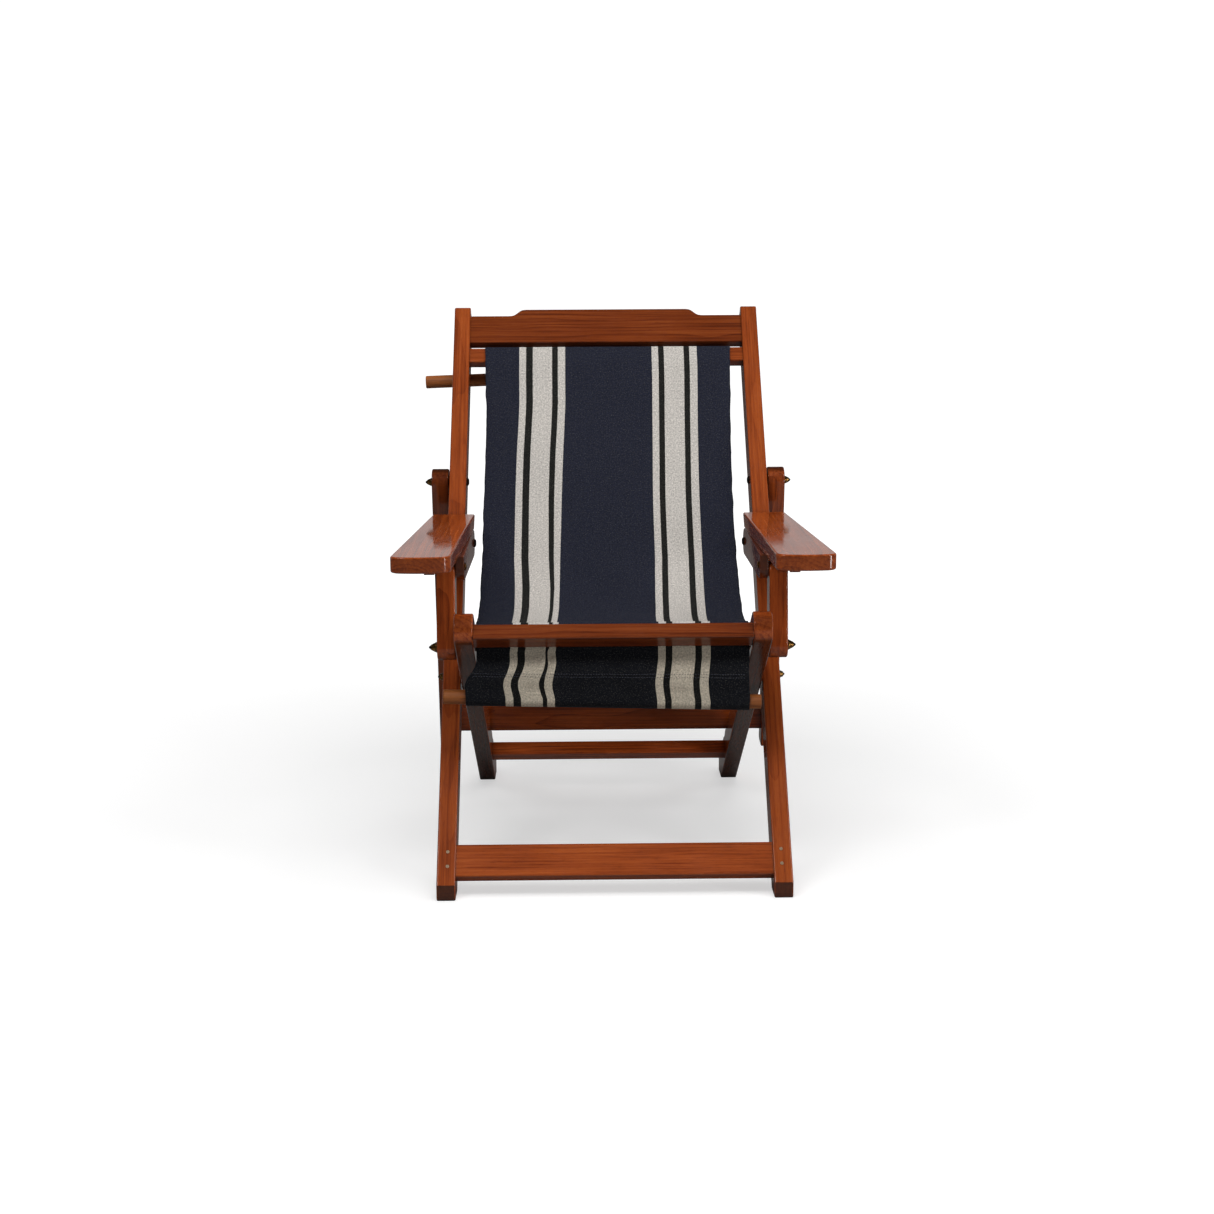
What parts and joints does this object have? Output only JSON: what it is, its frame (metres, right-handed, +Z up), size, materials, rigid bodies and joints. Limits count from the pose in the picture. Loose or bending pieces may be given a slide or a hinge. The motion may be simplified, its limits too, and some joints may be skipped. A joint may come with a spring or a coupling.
{
  "type": "folding deck chair",
  "caption": "Folding deck chair with crossed wooden frames, a propped back, hinged arms on short posts and a loose striped canvas sling on round rods.",
  "frame": {"origin": "on the floor under the middle of the bounding box", "axes": "+Z up, +Y towards the back of the chair, X across it"},
  "size_m": [0.7256, 0.8326, 0.9665],
  "materials": {
    "varnished_wood": "gloss varnish, reddish brown hardwood",
    "rod_wood": "bare turned wood",
    "canvas": "woven cotton canvas, navy with off-white and black stripes",
    "brass": "aged brass",
    "black_iron": "blackened steel"
  },
  "bodies": {
    "long_frame": {"left_long_stile": "varnished_wood", "right_long_stile": "varnished_wood", "crest_rail": "varnished_wood", "slot_rail": "varnished_wood", "front_foot_rail": "varnished_wood", "foot_rail_screws": "brass", "frame_pivot_bolts": "black_iron", "frame_pivot_nuts": "brass", "frame_pivot_washers": "brass", "prop_pivot_bolts": "black_iron", "prop_pivot_nuts": "brass", "prop_pivot_washers": "brass", "arm_pivot_bolts": "black_iron", "arm_pivot_nuts": "brass", "arm_pivot_washers": "brass", "top_canvas_rod": "rod_wood", "canvas_back": "canvas"},
    "seat_frame": {"left_seat_leg": "varnished_wood", "right_seat_leg": "varnished_wood", "front_crossbar": "varnished_wood", "seat_slot_rail": "varnished_wood", "rear_stretcher": "varnished_wood", "post_pivot_bolts": "black_iron", "post_pivot_nuts": "brass", "post_pivot_washers": "brass", "canvas_seat": "canvas"},
    "prop_frame": {"left_prop_stile": "varnished_wood", "right_prop_stile": "varnished_wood", "prop_rail": "varnished_wood"},
    "left_arm": {"left_arm_board": "varnished_wood", "left_arm_bearer": "varnished_wood", "left_arm_cleat": "varnished_wood", "left_arm_pin": "brass"},
    "right_arm": {"right_arm_board": "varnished_wood", "right_arm_bearer": "varnished_wood", "right_arm_cleat": "varnished_wood", "right_arm_pin": "brass"},
    "left_post": {"left_arm_post": "varnished_wood"},
    "right_post": {"right_arm_post": "varnished_wood"},
    "front_sling_end": {"front_canvas_rod": "rod_wood", "canvas_front_hem": "canvas"}
  },
  "joints": [
    {"name": "fold", "type": "hinge", "parent": "long_frame", "child": "seat_frame", "pos_m": [0, -0.12048, 0.32438], "axis": [1, 0, 0], "range_deg": [0, 52]},
    {"name": "prop_swing", "type": "hinge", "parent": "long_frame", "child": "prop_frame", "pos_m": [0, 0.14193, 0.64499], "axis": [1, 0, 0], "range_deg": [0, 104.1]},
    {"name": "left_arm_swing", "type": "hinge", "parent": "long_frame", "child": "left_arm", "pos_m": [0, 0.05598, 0.53998], "axis": [1, 0, 0], "range_deg": [0, 31.9]},
    {"name": "right_arm_swing", "type": "hinge", "parent": "long_frame", "child": "right_arm", "pos_m": [0, 0.05598, 0.53998], "axis": [1, 0, 0], "range_deg": [0, 31.9]},
    {"name": "left_post_swing", "type": "hinge", "parent": "seat_frame", "child": "left_post", "pos_m": [0, -0.25223, 0.40511], "axis": [1, 0, 0], "range_deg": [-76.8, 0]},
    {"name": "right_post_swing", "type": "hinge", "parent": "seat_frame", "child": "right_post", "pos_m": [0, -0.25223, 0.40511], "axis": [1, 0, 0], "range_deg": [-76.8, 0]},
    {"name": "sling_end_swing", "type": "hinge", "parent": "seat_frame", "child": "front_sling_end", "pos_m": [0, -0.31015, 0.41011], "axis": [1, 0, 0], "range_deg": [-96.3, 0]}
  ],
  "couplings": [
    {"joint": "prop_swing", "follows": "fold", "ratio": 2},
    {"joint": "left_arm_swing", "follows": "fold", "ratio": 0.61252},
    {"joint": "right_arm_swing", "follows": "fold", "ratio": 0.61252},
    {"joint": "left_post_swing", "follows": "fold", "ratio": -1.4765},
    {"joint": "right_post_swing", "follows": "fold", "ratio": -1.4765},
    {"joint": "sling_end_swing", "follows": "fold", "ratio": -1.85}
  ]
}
